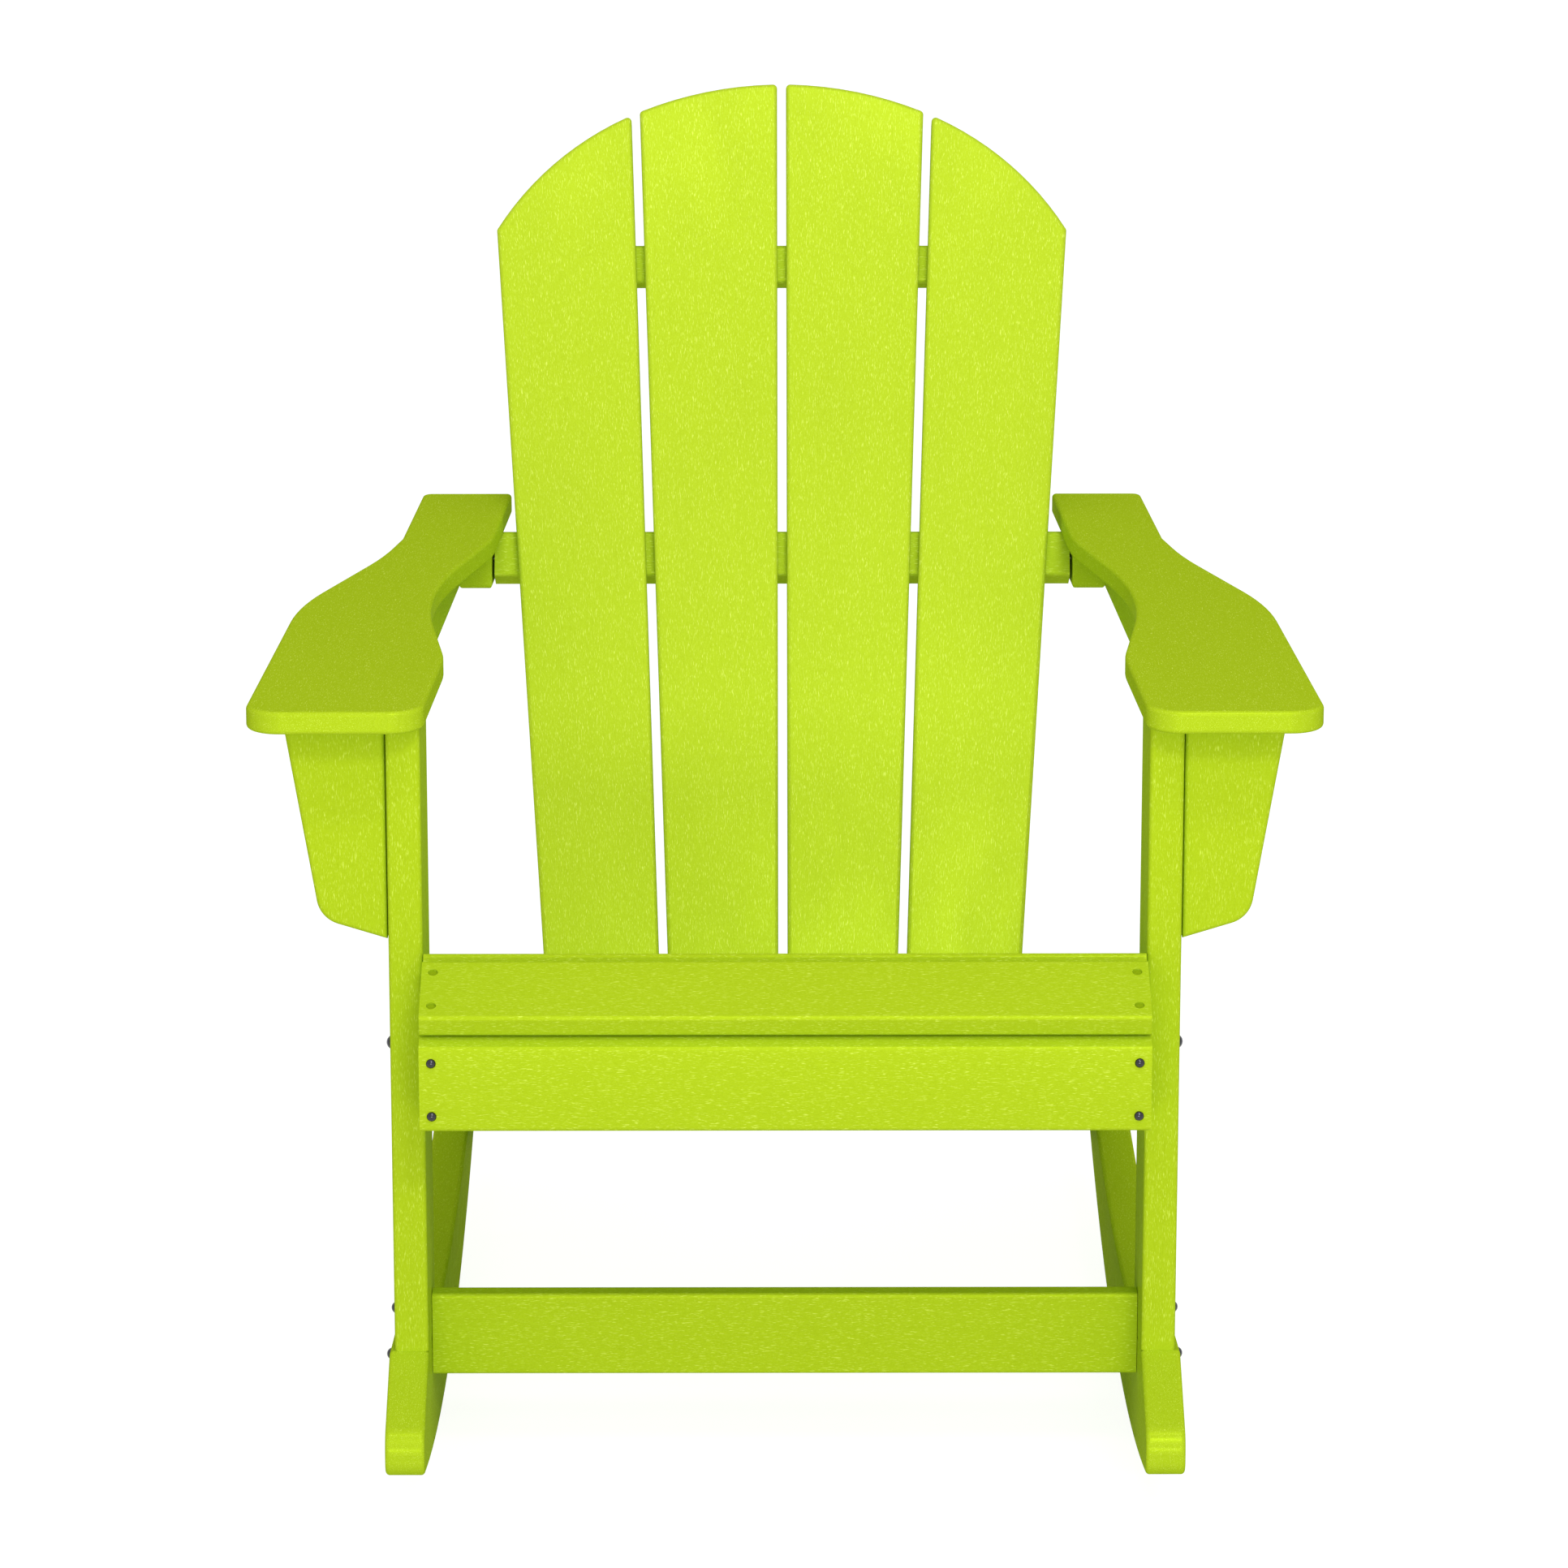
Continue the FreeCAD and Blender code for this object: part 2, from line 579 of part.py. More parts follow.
def make_back_slat(slat, outer):
    """Right-hand back slat between two leaning edges, cut to the arch, in the plane of the back."""
    inner_x, inner_angle, outer_x, outer_angle = slat
    low = -BACK_BOTTOM
    high = CROWN + 10
    points = [
        V(fan_x(inner_x, inner_angle, low), 0, low),
        V(fan_x(outer_x, outer_angle, low), 0, low),
        V(fan_x(outer_x, outer_angle, high), 0, high),
        V(fan_x(inner_x, inner_angle, high), 0, high),
    ]
    blank = Part.Face(Part.makePolygon(points + points[:1])).extrude(V(0, -SLAT_T, 0))
    disc = arch_disc(outer)
    keep = Part.makeBox(CROWN_R * 2, SLAT_T, BACK_BOTTOM + CROWN - CROWN_R, V(0, -SLAT_T, low))
    keep = blank.common(keep)
    solid = keep.fuse(blank.common(disc)).removeSplitter()

    def top_corner(edge):
        return runs_along(V(0, 1, 0))(edge) and edge.CenterOfMass.z > 0
    solid = softened(solid, top_corner, EDGE_R + 0.5)
    solid = softened(solid, on_plane(V(0, 1, 0), 0, -SLAT_T))
    cutters = []
    for along, _ in back_rail_sections():
        for x in back_screw_xs(slat, along):
            cutters.append(hole(V(x, 1, along), V(0, -1, 0), SCREW_D, SCREW_BITE + 2))
    return placed(drilled(solid, cutters), BACK)


def back_rail(half, top, height, thickness):
    """Rail across the rear faces of the back slats, drilled for their screws."""
    rail = plank(half, 0, top - height, thickness, height)
    along = top - height / 2
    cutters = []
    for x in back_screw_xs(INNER_SLAT, along) + back_screw_xs(OUTER_SLAT, along):
        for side in (-1, 1):
            cutters.append(hole(V(side * x, -1, along), V(0, 1, 0), SCREW_D, thickness + 2))
    return placed(drilled(rail, cutters), BACK)


def seat_rail_screw_points():
    """Two places, on X = 0, of the screws through a stringer into the end of the seat-height rail."""
    middle = SEAT_RAIL_TOP - SLAT_W / 2
    return [back_surface(-FRAME_T / 2, middle + offset) for offset in (-FIX_SPACING / 2, FIX_SPACING / 2)]


def make_seat_rail():
    """Rail behind the slats at seat height, drilled at its ends for the screws through the stringers."""
    half = STRINGER_IN_X - SEAT_SIDE_GAP
    rail = back_rail(half, SEAT_RAIL_TOP, SLAT_W, FRAME_T)
    cutters = []
    for point in seat_rail_screw_points():
        for side in (-1, 1):
            start = point + V(side * (half + 1), 0, 0)
            cutters.append(hole(start, V(-side, 0, 0), SCREW_D, END_BITE + 2))
    return drilled(rail, cutters)


def make_arm_rail():
    """Rail behind the slats at arm height, drilled for the bolts through the arm blocks."""
    rail = back_rail(ARM_RAIL_HALF, 0, ARM_RAIL_H, ARM_RAIL_T)
    middle = rail_bolt_centre()
    cutters = []
    for side in (-1, 1):
        end = V(side * (ARM_RAIL_HALF + 1), middle.y, middle.z)
        cutters.append(hole(end, V(-side, 0, 0), BOLT_D, BOLT_GRIP + 2))
        pocket = V(side * (ARM_RAIL_HALF - BARREL_INSET), middle.y, middle.z)
        cutters.append(rod(pocket - RAIL_AXIS * (BARREL_L / 2), RAIL_AXIS, BARREL_D + HOLE_CLEARANCE, ARM_RAIL_T))
    return drilled(rail, cutters)


RAIL_AXIS = V(0, math.cos(LEAN), -math.sin(LEAN))


def rail_bolt_centre():
    """Middle of the arm-height rail's section."""
    return back_surface(-ARM_RAIL_T / 2, -ARM_RAIL_H / 2)


# Arms

def toed(u, toe, y):
    """X, at a place along Y, of a line that drifts inward towards the back."""
    return u - toe * y


def plan_board(corners, toe, low_z, height):
    """Level board from its outline in u and Y."""
    mapped = [(toed(u, toe, y), y, radius) for u, y, radius in corners]
    wire = closed_outline(mapped, lambda p: V(p.x, p.y, low_z))
    return Part.Face(wire).extrude(V(0, 0, height))


def arm_screw_places():
    """Places of the screws up into the right arm: three through the bearer, one through the block."""
    bearer_u = BEARER_IN_U + FRAME_T / 2
    last_y = BEARER_END_Y - ARM_SCREW_INSET
    places = [(toed(bearer_u, BEARER_TOE, y), y) for y in (ARM_SCREW_Y, (ARM_SCREW_Y + last_y) / 2, last_y)]
    y = BEARER_END_Y - BLOCK_SCREW_INSET
    return places + [(toed(BEARER_IN_U - BLOCK_T / 2, BEARER_TOE, y), y)]


def arm_screw_holes():
    """Cutters for the screws up into the right arm."""
    low_z = ARM_UNDER_Z - BEARER_DEPTH - 1
    length = BEARER_DEPTH + SCREW_BITE + 2
    return [hole(V(x, y, low_z), V(0, 0, 1), SCREW_D, length) for x, y in arm_screw_places()]


def make_arm():
    """Right arm board."""
    rear_y = RAIL_REF_Y + ARM_OVERRUN
    out_u = ARM_IN_U + ARM_WIDTH
    rear_u = ARM_IN_U + ARM_REAR_WIDTH
    corners = [
        (ARM_IN_U, ARM_FRONT_Y, ARM_CORNER_R),
        (out_u, ARM_FRONT_Y, ARM_CORNER_R),
        (out_u, SWELL_END_Y, SWELL_R),
        (NECK_U, NECK_Y, NECK_R),
        (rear_u, KINK_Y, KINK_R),
        (rear_u, rear_y, ARM_REAR_R),
        (ARM_IN_U, rear_y, EDGE_R + 1),
        (ARM_IN_U, SCOOP_Y + SCOOP_LENGTH / 2, SCOOP_END_R),
        (ARM_IN_U + SCOOP_TANGENT, SCOOP_Y, SCOOP_R),
        (ARM_IN_U, SCOOP_Y - SCOOP_LENGTH / 2, SCOOP_END_R),
    ]
    board = plan_board(corners, ARM_TOE, ARM_UNDER_Z, ARM_T)
    board = softened(board, on_plane(V(0, 0, 1), ARM_UNDER_Z, ARM_TOP_Z))
    return drilled(board, arm_screw_holes())


def gusset_mid_y():
    """Middle of the gusset's thickness."""
    return GUSSET_FRONT_Y + FRAME_T / 2


def make_gusset():
    """Right arm gusset, a board that faces forward beside the leg."""
    inner = GUSSET_IN_X
    low_z = ARM_UNDER_Z - GUSSET_HEIGHT
    rise = GUSSET_TOP_X - inner - GUSSET_TAPER * GUSSET_HEIGHT
    lift = rise * GUSSET_RISE / (1 - GUSSET_TAPER * GUSSET_RISE)
    corner_z = low_z + lift
    corner_x = GUSSET_TOP_X - GUSSET_TAPER * (ARM_UNDER_Z - corner_z)
    corners = [
        (inner, ARM_UNDER_Z, 0),
        (GUSSET_TOP_X, ARM_UNDER_Z, 0),
        (corner_x, corner_z, GUSSET_R),
        (inner, low_z, 0),
    ]
    wire = closed_outline(corners, lambda p: V(p.x, GUSSET_FRONT_Y, p.y))
    solid = Part.Face(wire).extrude(V(0, FRAME_T, 0))

    def long_edge(edge):
        faces = on_plane(V(0, 1, 0), GUSSET_FRONT_Y, GUSSET_FRONT_Y + FRAME_T)
        return faces(edge) and abs(edge.BoundBox.ZMin - ARM_UNDER_Z) > 0.1
    solid = softened(solid, long_edge)
    cutters = []
    for z in gusset_dowel_places():
        cutters.append(hole(V(LEG_OUT_X - DOWEL_L / 2, gusset_mid_y(), z), V(1, 0, 0), DOWEL_D, DOWEL_L))
    return drilled(solid, cutters)


def under_arm_board(inner_u, thickness, front_y, rear_y):
    """Board on edge under the right arm, with its lower edges rounded, drilled for bolt and screws."""
    corners = [
        (inner_u, front_y, 0),
        (inner_u + thickness, front_y, 0),
        (inner_u + thickness, rear_y, 0),
        (inner_u, rear_y, 0),
    ]
    solid = plan_board(corners, BEARER_TOE, ARM_UNDER_Z - BEARER_DEPTH, BEARER_DEPTH)

    def lower_edge(edge):
        return on_plane(V(0, 0, 1), ARM_UNDER_Z - BEARER_DEPTH)(edge)
    solid = softened(solid, lower_edge)
    middle = rail_bolt_centre()
    bolt_hole = hole(V(0, middle.y, middle.z), V(1, 0, 0), BOLT_D, LEG_OUT_X + ARM_WIDTH)
    return drilled(solid, [bolt_hole] + arm_screw_holes())


# Fasteners

def stringer_bolts():
    """Bolts through leg and stringer, and their nuts."""
    seat = V(LEG_OUT_X, *STRINGER_BOLT)
    grip = 2 * FRAME_T + WASHER_T + NUT_T + 2
    return [bolt(seat, V(-1, 0, 0), STRINGER_HEAD_D, grip)], [nut(V(STRINGER_IN_X, *STRINGER_BOLT), V(-1, 0, 0))]


def stretcher_bolts():
    """Bolts into the ends of the stretcher, and their barrel nuts."""
    low_z, high_z = stretcher_bolt_heights()
    half = FRAME_IN_X - SEAT_SIDE_GAP
    bolts = []
    nuts = []
    for z, outer_x in ((low_z, FRAME_IN_X + ROCKER_T), (high_z, LEG_OUT_X)):
        grip = outer_x - half + BOLT_GRIP
        bolts.append(bolt(V(outer_x, STRETCHER_MID_Y, z), V(-1, 0, 0), STRETCHER_HEAD_D, grip))
        middle = V(half - BARREL_INSET, STRETCHER_Y + SLAT_T - BARREL_L / 2, z)
        body = rod(middle - V(0, BARREL_L / 2, 0), V(0, 1, 0), BARREL_D, BARREL_L)
        nuts.append(body.cut(hole(V(half + 1, STRETCHER_MID_Y, z), V(-1, 0, 0), BOLT_D, 2 * BOLT_GRIP)))
    return bolts, nuts


def tail_bolts():
    """Bolts through the rocker's pad and the stringer's tail, and their nuts."""
    bolts = []
    nuts = []
    grip = ROCKER_T + FRAME_T + WASHER_T + NUT_T + 2
    for y, z in tail_bolt_places():
        bolts.append(bolt(V(FRAME_IN_X + ROCKER_T, y, z), V(-1, 0, 0), STRINGER_HEAD_D, grip))
        nuts.append(nut(V(STRINGER_IN_X, y, z), V(-1, 0, 0)))
    return bolts, nuts


def rail_bolts():
    """Bolts through the arm bearer and block into the arm-height rail, and their barrel nuts."""
    middle = rail_bolt_centre()
    outer_x = toed(BEARER_IN_U + FRAME_T, BEARER_TOE, middle.y - STRINGER_HEAD_D / 2)
    seat = V(outer_x, middle.y, middle.z)
    grip = seat.x - ARM_RAIL_HALF + BOLT_GRIP
    nut_middle = V(ARM_RAIL_HALF - BARREL_INSET, middle.y, middle.z)
    return [bolt(seat, V(-1, 0, 0), STRINGER_HEAD_D, grip)], [barrel_nut(nut_middle, RAIL_AXIS, V(1, 0, 0))]


def apron_screws():
    """Screws through the right end of the apron."""
    return [screw(V(FIX_X, APRON_FRONT_Y, z), V(0, 1, 0), APRON_SCREW_L - 1) for z in apron_screw_heights()]


def arm_screws():
    """Screws from below through the right bearer and block into the arm."""
    low_z = ARM_UNDER_Z - BEARER_DEPTH
    return [screw(V(x, y, low_z), V(0, 0, 1), BEARER_DEPTH + SCREW_BITE) for x, y in arm_screw_places()]


def seat_rail_screws():
    """Screws through the right stringer into the end of the seat-height rail."""
    outer = V(FRAME_IN_X, 0, 0)
    return [screw(outer + point, V(-1, 0, 0), FRAME_T + END_BITE) for point in seat_rail_screw_points()]


def back_slat_screws():
    """Screws from behind through the rails into the right-hand back slats."""
    screws = []
    for along, thickness in back_rail_sections():
        for x in back_screw_xs(INNER_SLAT, along) + back_screw_xs(OUTER_SLAT, along):
            one = screw(V(x, thickness, along), V(0, -1, 0), thickness + SCREW_BITE)
            screws.append(placed(one, BACK))
    return screws


def gusset_dowels():
    """Dowels between the right leg and its gusset."""
    start_x = LEG_OUT_X - DOWEL_L / 2
    return [rod(V(start_x, gusset_mid_y(), z), V(1, 0, 0), DOWEL_D, DOWEL_L) for z in gusset_dowel_places()]


# Assembly

def assemble():
    """Every node of the chair by name."""
    nodes = {
        "right_rocker": make_rocker(),
        "right_front_leg": make_leg(),
        "right_seat_stringer": make_stringer(),
        "right_arm": make_arm(),
        "right_arm_gusset": make_gusset(),
        "right_arm_bearer": under_arm_board(BEARER_IN_U, FRAME_T, GUSSET_FRONT_Y + FRAME_T, BEARER_END_Y),
        "right_arm_block": under_arm_board(BEARER_IN_U - BLOCK_T, BLOCK_T, BEARER_END_Y - BLOCK_LENGTH, BEARER_END_Y),
        "right_inner_back_slat": make_back_slat(INNER_SLAT, False),
        "right_outer_back_slat": make_back_slat(OUTER_SLAT, True),
    }
    for name in list(nodes):
        nodes[name.replace("right_", "left_", 1)] = mirrored(nodes[name])
    nodes["apron"] = make_apron()
    nodes["front_stretcher"] = make_stretcher()
    slat = seat_slat_blank()
    plugs = []
    for number, placement in enumerate(seat_placements(), start=1):
        nodes["seat_slat_%d" % number] = placed(slat, placement)
        plugs += [placed(plug, placement) for plug in slat_plugs()]
    nodes["seat_plugs"] = Part.makeCompound(plugs)
    upper_half = fan_x(OUTER_EDGE_X, 2 * FAN_ANGLE, UPPER_RAIL_TOP - UPPER_RAIL_H) - UPPER_RAIL_INSET
    nodes["upper_back_rail"] = back_rail(upper_half, UPPER_RAIL_TOP, UPPER_RAIL_H, SLAT_T)
    nodes["arm_height_back_rail"] = make_arm_rail()
    nodes["seat_height_back_rail"] = make_seat_rail()
    for name, (bolts, nuts) in {
        "stringer": stringer_bolts(),
        "stretcher": stretcher_bolts(),
        "tail": tail_bolts(),
        "back_rail": rail_bolts(),
    }.items():
        nodes[name + "_bolts"] = both_sides(bolts)
        nodes[name + "_bolt_nuts"] = both_sides(nuts)
    for name, screws in {
        "apron": apron_screws(),
        "arm": arm_screws(),
        "seat_rail": seat_rail_screws(),
        "back_slat": back_slat_screws(),
    }.items():
        nodes[name + "_screws"] = both_sides(screws)
    nodes["gusset_dowels"] = both_sides(gusset_dowels())
    return nodes


def write(nodes):
    """Move the chair so that the origin is on the floor under its middle, and write each node."""
    box = Part.makeCompound(list(nodes.values())).optimalBoundingBox(False)
    shift = V(0, -(box.YMin + box.YMax) / 2, 0)
    os.makedirs("parts", exist_ok=True)
    for name, shape in nodes.items():
        moved = shape.copy()
        moved.translate(shift)
        moved.exportStep("parts/%s.step" % name)
    print("moved along Y by %.3f" % shift.y)


write(assemble())
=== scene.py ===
"""Finish, light and camera for the rocking adirondack chair.

The chair is cut from flat boards of recycled-plastic lumber, dyed lime green all through. Every
board keeps its solid from the frame and gets a procedural finish whose flecks run along its own
length. Only the apron is made here, for its bevelled top edge. The metal pieces are dark polished
domes outside and plain zinc-plated nuts inside.
All lengths are in metres, in the same frame as the solids.
"""

import logging
import math
from dataclasses import dataclass, field
from enum import Enum
from typing import Iterator

import bpy
from mathutils import Euler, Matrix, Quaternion, Vector

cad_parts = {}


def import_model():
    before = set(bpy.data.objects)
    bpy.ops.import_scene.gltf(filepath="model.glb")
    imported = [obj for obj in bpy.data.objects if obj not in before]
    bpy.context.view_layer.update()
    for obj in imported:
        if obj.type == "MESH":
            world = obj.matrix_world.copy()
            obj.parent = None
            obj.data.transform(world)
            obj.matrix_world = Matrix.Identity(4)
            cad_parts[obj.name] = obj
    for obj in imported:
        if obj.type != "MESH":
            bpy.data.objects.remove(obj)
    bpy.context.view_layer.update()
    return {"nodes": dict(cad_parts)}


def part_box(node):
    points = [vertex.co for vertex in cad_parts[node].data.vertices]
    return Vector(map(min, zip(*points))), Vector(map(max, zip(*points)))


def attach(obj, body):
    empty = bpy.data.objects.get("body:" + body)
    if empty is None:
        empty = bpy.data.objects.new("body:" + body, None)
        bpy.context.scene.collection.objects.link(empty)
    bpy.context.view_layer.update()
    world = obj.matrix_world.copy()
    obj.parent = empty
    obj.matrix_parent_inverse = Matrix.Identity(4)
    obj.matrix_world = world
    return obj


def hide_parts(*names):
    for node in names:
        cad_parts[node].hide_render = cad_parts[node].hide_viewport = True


LOG = logging.getLogger("rocking_chair")
BODY = "root"

ACROSS = Vector((1.0, 0.0, 0.0))
BACKWARD = Vector((0.0, 1.0, 0.0))
UP = Vector((0.0, 0.0, 1.0))

Triple = tuple[float, float, float]
Colour = Triple
WHITE: Colour = (1.0, 1.0, 1.0)


class Slot(str, Enum):
    """Material slots of the record."""

    LUMBER = "lime_lumber"
    DARK_CHROME = "dark_chrome"
    ZINC = "zinc_plated_steel"


class Side(float, Enum):
    """The two halves of the chair, as the sign of X."""

    RIGHT = 1.0
    LEFT = -1.0

    @property
    def prefix(self) -> str:
        """Start of the names of this side's nodes."""
        return "right_" if self is Side.RIGHT else "left_"


def srgb(red: int, green: int, blue: int) -> Colour:
    """Convert a display colour to the linear one that shaders use.

    Args:
        red: Red, 0 to 255.
        green: Green, 0 to 255.
        blue: Blue, 0 to 255.

    Returns:
        The linear colour.
    """
    def linear(value: int) -> float:
        """One channel in linear light."""
        share = value / 255
        return share / 12.92 if share <= 0.04045 else ((share + 0.055) / 1.055) ** 2.4
    return linear(red), linear(green), linear(blue)


@dataclass
class Graph:
    """The node tree of a material or the world, with short ways to add to it."""

    owner: "bpy.types.Material | bpy.types.World"

    def __post_init__(self) -> None:
        """Start with no nodes."""
        self.owner.use_nodes = True
        self.owner.node_tree.nodes.clear()

    def node(self, kind: str, **values: object) -> bpy.types.Node:
        """Add a node and set its properties and unlinked inputs.

        Args:
            kind: Blender's name for the node type.
            values: Properties, or inputs by name with underscores for blanks.

        Returns:
            The new node.
        """
        made = self.owner.node_tree.nodes.new(kind)
        for name, value in values.items():
            if hasattr(made, name):
                setattr(made, name, value)
            else:
                made.inputs[name.replace("_", " ")].default_value = value
        return made

    def link(self, start: bpy.types.NodeSocket, end: bpy.types.NodeSocket) -> None:
        """Connect two sockets."""
        self.owner.node_tree.links.new(start, end)

    def math(self, operation: str, *terms: "bpy.types.NodeSocket | float") -> bpy.types.NodeSocket:
        """Combine numbers.

        Args:
            operation: Blender's name for the operation.
            terms: Sockets or plain numbers, in order.

        Returns:
            The result's socket.
        """
        made = self.node("ShaderNodeMath", operation=operation)
        for slot, term in zip(made.inputs, terms):
            if isinstance(term, bpy.types.NodeSocket):
                self.link(term, slot)
            else:
                slot.default_value = term
        return made.outputs[0]

    def ramp(self, source: bpy.types.NodeSocket, band: tuple[float, float],
             results: tuple[float, float]) -> bpy.types.NodeSocket:
        """Map a band of a number smoothly onto another band.

        Args:
            source: The number.
            band: Where the band starts and ends.
            results: Results at its start and end.

        Returns:
            The mapped number's socket.
        """
        made = self.node("ShaderNodeMapRange", interpolation_type="SMOOTHSTEP",
                         From_Min=band[0], From_Max=band[1], To_Min=results[0], To_Max=results[1])
        self.link(source, made.inputs["Value"])
        return made.outputs["Result"]

    def mix(self, share: bpy.types.NodeSocket, first: "bpy.types.NodeSocket | Colour",
            second: Colour) -> bpy.types.NodeSocket:
        """Blend two colours.

        Args:
            share: How much of the second one.
            first: First colour.
            second: Second colour.

        Returns:
            The blend's socket.
        """
        made = self.node("ShaderNodeMix", data_type="RGBA", blend_type="MIX")
        for name, kind, value in (("Factor", "VALUE", share), ("A", "RGBA", first),
                                  ("B", "RGBA", second)):
            slot = next(s for s in made.inputs if s.name == name and s.type == kind)
            if isinstance(value, bpy.types.NodeSocket):
                self.link(value, slot)
            else:
                slot.default_value = (*value, 1.0)
        return next(s for s in made.outputs if s.type == "RGBA")

    def finish(self, shader: bpy.types.NodeSocket) -> "bpy.types.Material | bpy.types.World":
        """Join a shader to the output.

        Args:
            shader: The shader's socket.

        Returns:
            The material or world that the tree belongs to.
        """
        of_world = isinstance(self.owner, bpy.types.World)
        output = self.node("ShaderNodeOutputWorld" if of_world else "ShaderNodeOutputMaterial")
        self.link(shader, output.inputs["Surface"])
        return self.owner


@dataclass(frozen=True)
class Blots:
    """A layer of noise drawn out along the board, and how it tints the board.

    The noise's band is mapped onto shares of the layer's tone.
    """

    length: float
    width: float
    detail: float
    shift: float
    band: tuple[float, float]
    shares: tuple[float, float]
    roughness: float = 0.55
    spread: Triple = (1.0, 1.7, 2.3)

    def noise(self, graph: Graph, place: bpy.types.NodeSocket, seed: float) -> bpy.types.NodeSocket:
        """Add the noise to a material.

        Args:
            graph: The material's graph.
            place: Place along and across the board, in metres.
            seed: Number that makes this board's pattern its own.

        Returns:
            The noise, 0 to 1.
        """
        start = tuple((seed + self.shift) * share for share in self.spread)
        mapping = graph.node("ShaderNodeMapping", vector_type="POINT", Location=start,
                             Scale=(1 / self.length, 1 / self.width, 1 / self.width))
        graph.link(place, mapping.inputs["Vector"])
        noise = graph.node("ShaderNodeTexNoise", Scale=1.0, Detail=self.detail,
                           Roughness=self.roughness)
        graph.link(mapping.outputs["Vector"], noise.inputs["Vector"])
        return noise.outputs["Fac"]

    def tint(self, graph: Graph, noise: bpy.types.NodeSocket,
             under: "bpy.types.NodeSocket | Colour", tone: Colour) -> bpy.types.NodeSocket:
        """Lay the layer's tone over a colour."""
        return graph.mix(graph.ramp(noise, self.band, self.shares), under, tone)


@dataclass(frozen=True)
class LimeLumber:
    """Matte recycled-plastic lumber with pale flecks drawn out along the board."""

    base: Colour = srgb(183, 211, 36)
    pale: Colour = srgb(222, 243, 92)
    deep: Colour = srgb(156, 184, 8)
    cloud: Blots = Blots(length=0.14, width=0.07, detail=2.0, shift=83.0,
                         band=(0.35, 0.65), shares=(0.0, 0.05))
    streaks: Blots = Blots(length=0.35, width=0.0035, detail=2.0, shift=101.0,
                           band=(0.42, 0.68), shares=(0.0, 0.04))
    grain: Blots = Blots(length=0.00112, width=0.0007, detail=2.0, shift=57.0,
                         band=(0.3, 0.7), shares=(0.24, 0.0))
    specks: Blots = Blots(length=0.00782, width=0.000806, detail=1.0, shift=31.0,
                          band=(0.55, 0.72), shares=(0.0, 0.20))
    flecks: Blots = Blots(length=0.0046, width=0.00062, detail=1.5, shift=0.0,
                          band=(0.55, 0.77), shares=(0.0, 0.85))
    wobble: float = 0.0020
    wobble_size: float = 0.012
    wobble_detail: float = 1.0
    noise_middle: Triple = (0.5, 0.5, 0.5)
    roughness: tuple[float, float] = (0.21, 0.30)
    rough_band: tuple[float, float] = (0.25, 0.75)
    gloss_share: float = 0.065
    gloss_edge: Colour = (0.03, 0.04, 0.0)
    specular: float = 0.0
    bump: float = 0.00006
    fleck_rise: float = 0.8
    grain_rise: float = 0.6

    def _wavering(self, graph: Graph, place: bpy.types.NodeSocket) -> bpy.types.NodeSocket:
        """Places shifted a little to and fro, so that flecks don't all lie quite parallel.

        Args:
            graph: The material's graph.
            place: Place along and across the board, in metres.

        Returns:
            The shifted place.
        """
        noise = graph.node("ShaderNodeTexNoise", Scale=1 / self.wobble_size,
                           Detail=self.wobble_detail)
        graph.link(place, noise.inputs["Vector"])
        centred = graph.node("ShaderNodeVectorMath", operation="SUBTRACT")
        graph.link(noise.outputs["Color"], centred.inputs[0])
        centred.inputs[1].default_value = self.noise_middle
        scaled = graph.node("ShaderNodeVectorMath", operation="SCALE", Scale=self.wobble)
        graph.link(centred.outputs[0], scaled.inputs[0])
        moved = graph.node("ShaderNodeVectorMath", operation="ADD")
        graph.link(place, moved.inputs[0])
        graph.link(scaled.outputs[0], moved.inputs[1])
        return moved.outputs[0]

    def material(self, name: str, along: Vector, seed: float) -> bpy.types.Material:
        """Make the finish of one board.

        Args:
            name: Name of the material.
            along: Direction of the board's length.
            seed: Number that makes this board's pattern its own.

        Returns:
            The material.
        """
        graph = Graph(bpy.data.materials.new(name))
        turn: Quaternion = along.rotation_difference(ACROSS)
        coordinates = graph.node("ShaderNodeTexCoord")
        turned = graph.node("ShaderNodeMapping", vector_type="POINT", Rotation=turn.to_euler())
        graph.link(coordinates.outputs["Object"], turned.inputs["Vector"])
        place = self._wavering(graph, turned.outputs["Vector"])

        cloud, streaks, grain, specks, flecks = (
            blots.noise(graph, place, seed)
            for blots in (self.cloud, self.streaks, self.grain, self.specks, self.flecks))
        colour = self.cloud.tint(graph, cloud, self.base, self.deep)
        colour = self.streaks.tint(graph, streaks, colour, self.deep)
        colour = self.grain.tint(graph, grain, colour, self.deep)
        colour = self.specks.tint(graph, specks, colour, self.deep)
        colour = self.flecks.tint(graph, flecks, colour, self.pale)

        height = graph.math("ADD", graph.math("MULTIPLY", flecks, self.fleck_rise),
                            graph.math("MULTIPLY", grain, self.grain_rise))
        bump = graph.node("ShaderNodeBump", Strength=1.0, Distance=self.bump)
        graph.link(height, bump.inputs["Height"])

        shader = graph.node("ShaderNodeBsdfPrincipled", Metallic=self.gloss_share,
                            Specular_Tint=(*self.gloss_edge, 1.0),
                            Specular_IOR_Level=self.specular)
        graph.link(colour, shader.inputs["Base Color"])
        graph.link(graph.ramp(cloud, self.rough_band, self.roughness), shader.inputs["Roughness"])
        graph.link(bump.outputs["Normal"], shader.inputs["Normal"])
        return graph.finish(shader.outputs["BSDF"])


